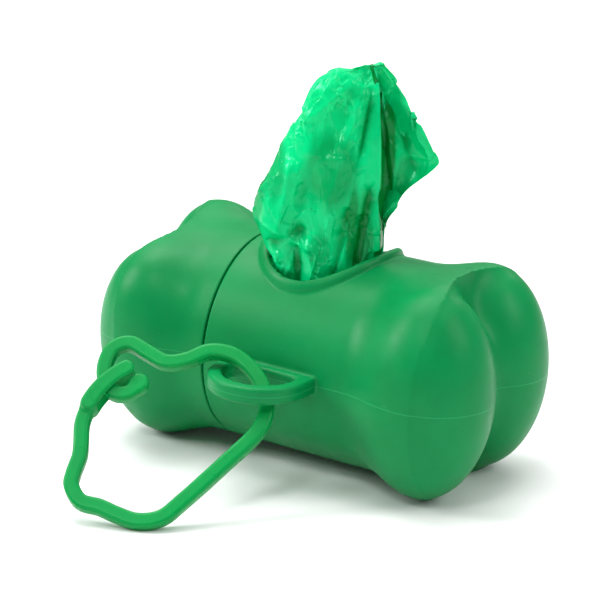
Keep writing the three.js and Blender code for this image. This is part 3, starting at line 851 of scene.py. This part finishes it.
class Look:
    """A short way to lay out a material's nodes."""

    def __init__(self, name):
        self.material = bpy.data.materials.new(name)
        self.material.use_nodes = True
        self.nodes = self.material.node_tree.nodes
        self.links = self.material.node_tree.links
        self.shader = self.nodes["Principled BSDF"]
        self.place = self.nodes.new("ShaderNodeTexCoord").outputs["Object"]

    def node(self, kind, inputs=(), **settings):
        made = self.nodes.new("ShaderNode" + kind)
        for key, value in settings.items():
            setattr(made, key, value)
        for socket, value in dict(inputs).items():
            if isinstance(value, bpy.types.NodeSocket):
                self.links.new(value, made.inputs[socket])
            else:
                made.inputs[socket].default_value = value
        return made

    def noise(self, scale, detail=3, distortion=0.0):
        made = self.node("TexNoise", {"Scale": scale, "Detail": detail, "Distortion": distortion})
        self.links.new(self.place, made.inputs["Vector"])
        return made.outputs["Fac"]

    def ramp(self, value, low, high, a, b):
        made = self.node("MapRange", {
            "Value": value, "From Min": low, "From Max": high, "To Min": a, "To Max": b,
        })
        return made.outputs["Result"]

    def mix(self, factor, a, b):
        return self.node("Mix", {0: factor, 6: a, 7: b}, data_type="RGBA").outputs[2]

    def math(self, operation, a, b=0.0):
        return self.node("Math", {0: a, 1: b}, operation=operation).outputs[0]

    def wrinkles(self, scale, detail):
        """Sharp branching ridges, longer upwards than across."""
        sized = (scale, scale, WRINKLE_SQUASH * scale)
        tall = self.node("VectorMath", {0: self.place, 1: sized}, operation="MULTIPLY").outputs[0]
        shape = {"Vector": tall, "Scale": 1.0, "Detail": detail, "Offset": 1.0, "Gain": 2.0}
        return self.node("TexNoise", shape, noise_type="RIDGED_MULTIFRACTAL").outputs["Fac"]

    def bump(self, height, strength, distance, below=None):
        made = self.node("Bump", {"Height": height, "Strength": strength, "Distance": distance})
        if below is not None:
            self.links.new(below, made.inputs["Normal"])
        return made.outputs["Normal"]

    def set(self, **values):
        for name, value in values.items():
            socket = self.shader.inputs[name.replace("_", " ")]
            if isinstance(value, bpy.types.NodeSocket):
                self.links.new(value, socket)
            else:
                socket.default_value = value


def moulded_plastic(name, deep, pale, rough, seam_matrix, seam_width):
    """Satin moulded plastic: faint orange peel, cloudy colour, fine scuffs and a mould line."""
    look = Look(name)
    cloud = look.noise(scale=90, detail=4)
    scuff = look.noise(scale=900, detail=2, distortion=2.0)
    peel = look.noise(scale=2200, detail=2)
    colour = look.mix(look.ramp(cloud, low=0.35, high=0.65, a=0, b=1), linear(*deep), linear(*pale))
    scratch = look.ramp(scuff, low=0.7, high=0.8, a=0, b=0.06)
    local = look.node("Mapping", {"Vector": look.place}, vector_type="POINT")
    turn = seam_matrix.to_3x3().normalized().inverted()
    shift = -(turn @ seam_matrix.translation)
    local.inputs["Rotation"].default_value = turn.to_euler()
    local.inputs["Location"].default_value = shift
    height = look.node("SeparateXYZ", {"Vector": local.outputs["Vector"]}).outputs["Z"]
    line = look.ramp(look.math("ABSOLUTE", height), low=seam_width * 0.4, high=seam_width, a=1, b=0)
    colour = look.mix(scratch, colour, linear(*SCUFF_COLOUR))
    colour = look.mix(look.math("MULTIPLY", line, MOULD_LINE_STRENGTH), colour, linear(*MOULD_LINE_COLOUR))
    roughness = look.ramp(look.noise(scale=260), low=0.3, high=0.7, a=rough - 0.05, b=rough + 0.06)
    normal = look.bump(peel, strength=0.10, distance=0.0001)
    normal = look.bump(line, strength=0.5, distance=0.00006, below=normal)
    look.set(Base_Color=colour, Roughness=roughness, Normal=normal, Specular_IOR_Level=0.15)
    look.set(Subsurface_Weight=0.06, Subsurface_Radius=(0.2, 1.0, 0.5), Subsurface_Scale=0.002)
    return look.material


def film(name, thin, thick_and_shaded):
    """Thin glossy bag film: fine wrinkles, darker where it lies in more than one layer and where shade is
    painted into its folds and hollows.
    """
    look = Look(name)
    cloud = look.noise(scale=70)
    layers_and_painted_shade = look.node("Attribute", attribute_name="layers_and_painted_shade").outputs["Fac"]
    depth_and_shade = look.math("ADD", layers_and_painted_shade, look.ramp(cloud, low=0.35, high=0.65, a=0.05, b=0.3))
    colour = look.mix(look.ramp(depth_and_shade, low=0, high=1, a=0, b=1), linear(*thin), linear(*thick_and_shaded))
    normal = look.bump(look.wrinkles(scale=95, detail=1.0), strength=0.45, distance=0.0011)
    normal = look.bump(look.wrinkles(scale=260, detail=2.0), strength=0.3, distance=0.0003, below=normal)
    roughness = look.ramp(look.noise(scale=300), low=0.3, high=0.7, a=0.14, b=0.24)
    look.set(Base_Color=colour, Roughness=roughness, Normal=normal, Specular_IOR_Level=0.4)
    look.set(Coat_Weight=0.08, Coat_Roughness=0.1, Specular_Tint=(0.35, 1, 0.75, 1))
    glow = look.node("BsdfTranslucent", {"Color": colour, "Normal": normal})
    both = look.node("MixShader", {0: LIGHT_THROUGH_FILM})
    look.links.new(look.shader.outputs["BSDF"], both.inputs[1])
    look.links.new(glow.outputs["BSDF"], both.inputs[2])
    look.links.new(both.outputs["Shader"], look.nodes["Material Output"].inputs["Surface"])
    return look.material


def card(name):
    """Bare spiral-wound card with fine fibres."""
    look = Look(name)
    fibre = look.noise(scale=1500, detail=5, distortion=1.5)
    colour = look.mix(fibre, linear(150, 118, 82), linear(196, 166, 124))
    look.set(Base_Color=colour, Roughness=look.ramp(fibre, low=0.3, high=0.7, a=0.8, b=0.95))
    look.set(Normal=look.bump(fibre, strength=0.5, distance=0.0001))
    return look.material


# ---------------------------------------------------------------- pieces

def finish_piece(piece, material, node, body=None):
    """Gives a piece its look and, where one is named, its body, and hides the CAD node it stands for. A
    blended piece has two bodies and gets no body here.
    """
    piece.data.materials.append(material)
    if body:
        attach(piece, body)
    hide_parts(node)


shell_look = moulded_plastic(
    "shell_plastic", deep=(0, 122, 62), pale=(0, 130, 68), rough=0.38, seam_matrix=BONE, seam_width=0.00016)
clip_look = moulded_plastic(
    "clip_plastic", deep=(0, 134, 62), pale=(0, 142, 66), rough=0.3, seam_matrix=CLIP, seam_width=0.00014)
film_look = film("bag_film", thin=(0, 236, 150), thick_and_shaded=(0, 132, 54))
card_look = card("core_card")

body_shell = from_field("body_shell", body_field, BODY_GRID, SHELL_STEP, BONE)
finish_piece(body_shell, shell_look, "dispenser_body", "shell")
cap_shell = from_field("cap_shell", cap_field, CAP_GRID, SHELL_STEP, BONE)
finish_piece(cap_shell, shell_look, "end_cap", "cap")

loop, arm = clip_pieces()
finish_piece(loop, clip_look, "carabiner_frame", "clip")
finish_piece(arm, clip_look, "carabiner_gate")
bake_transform(arm)

for film_ring, node in roll_pieces():
    finish_piece(film_ring, film_look, node, "roll")
finish_piece(core_piece(), card_look, "roll_core", "core")

bag = film_bag()
finish_piece(bag, film_look, "pulled_bag_01")
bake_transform(bag)


# ---------------------------------------------------------------- stage, lights and camera

WORLD_LIGHT = 0.3
FLOOR_REACH = 3.0
SOFTBOXES = [  # name, place, aim, width, height and power
    ("top_left", (-0.2, 0.05, 0.6), (0, 0, 0.02), 0.3, 0.3, 1.6),
    ("left", (-0.5, -0.35, 0.4), (0, 0, 0.04), 0.14, 0.3, 3.2),
    ("key", (0.05, -0.45, 0.55), (0, 0, 0.04), 0.14, 0.14, 1.0),
    ("back", (-0.1, 0.9, 0.6), (-0.1, 0.6, 0), 0.6, 0.4, 1.5),
    ("right", (0.55, 0.1, 0.45), (0, 0, 0.03), 0.3, 0.4, 1.7),
]
CAMERA_AZIMUTH, CAMERA_ELEVATION, CAMERA_ROLL = (math.radians(angle) for angle in (31.84, 16.28, 1.66))
CAMERA_TARGET = Vector((-0.0039, 0.01733, 0.02892))
CAMERA_DISTANCE = 0.4104
CAMERA_LENS = 125.5
CAMERA_SENSOR = 36
CAMERA_NEAR = 0.01


def floor_and_world():
    mesh = bpy.data.meshes.new("floor")
    corners = [(x * FLOOR_REACH, y * FLOOR_REACH, 0) for x, y in ((-1, -1), (1, -1), (1, 1), (-1, 1))]
    mesh.from_pydata(corners, [], [(0, 1, 2, 3)])
    floor = bpy.data.objects.new("floor", mesh)
    bpy.context.scene.collection.objects.link(floor)
    look = Look("pale_floor")
    grain = look.noise(scale=30, detail=2)
    look.set(Base_Color=look.mix(grain, (0.86, 0.86, 0.86, 1), (0.9, 0.9, 0.9, 1)), Roughness=0.6)
    mesh.materials.append(look.material)
    world = bpy.data.worlds.new("soft_white")
    world.use_nodes = True
    world.node_tree.nodes["Background"].inputs["Color"].default_value = (1, 1, 1, 1)
    world.node_tree.nodes["Background"].inputs["Strength"].default_value = WORLD_LIGHT
    bpy.context.scene.world = world


def softbox(name, place, aim, width, height, power):
    light = bpy.data.lights.new(name, "AREA")
    light.shape = "RECTANGLE"
    light.size, light.size_y, light.energy = width, height, power
    lamp = bpy.data.objects.new(name, light)
    lamp.location = place
    lamp.rotation_euler = (Vector(aim) - Vector(place)).to_track_quat("-Z", "Y").to_euler()
    bpy.context.scene.collection.objects.link(lamp)


def open_sky(name, direction, spread, strength):
    """A wide, soft light from far away, even over the whole floor."""
    light = bpy.data.lights.new(name, "SUN")
    light.angle, light.energy = math.radians(spread), strength
    lamp = bpy.data.objects.new(name, light)
    lamp.rotation_euler = (-Vector(direction)).to_track_quat("-Z", "Y").to_euler()
    bpy.context.scene.collection.objects.link(lamp)


def photo_camera():
    level = math.cos(CAMERA_ELEVATION)
    across, toward = math.sin(CAMERA_AZIMUTH) * level, math.cos(CAMERA_AZIMUTH) * level
    back = Vector((across, -toward, math.sin(CAMERA_ELEVATION)))
    camera = bpy.data.objects.new("camera", bpy.data.cameras.new("camera"))
    camera.data.lens = CAMERA_LENS
    camera.data.sensor_width = CAMERA_SENSOR
    camera.data.clip_start = CAMERA_NEAR
    place = Matrix.Translation(CAMERA_TARGET + back * CAMERA_DISTANCE)
    facing = (-back).to_track_quat("-Z", "Y").to_matrix().to_4x4()
    camera.matrix_world = place @ facing @ Matrix.Rotation(CAMERA_ROLL, 4, "Z")
    bpy.context.scene.collection.objects.link(camera)
    bpy.context.scene.camera = camera


floor_and_world()
open_sky("overhead", (-0.25, 0.2, 1), spread=70, strength=2.2)
for softbox_facts in SOFTBOXES:
    softbox(*softbox_facts)
photo_camera()
bpy.context.scene.view_settings.view_transform = "Standard"
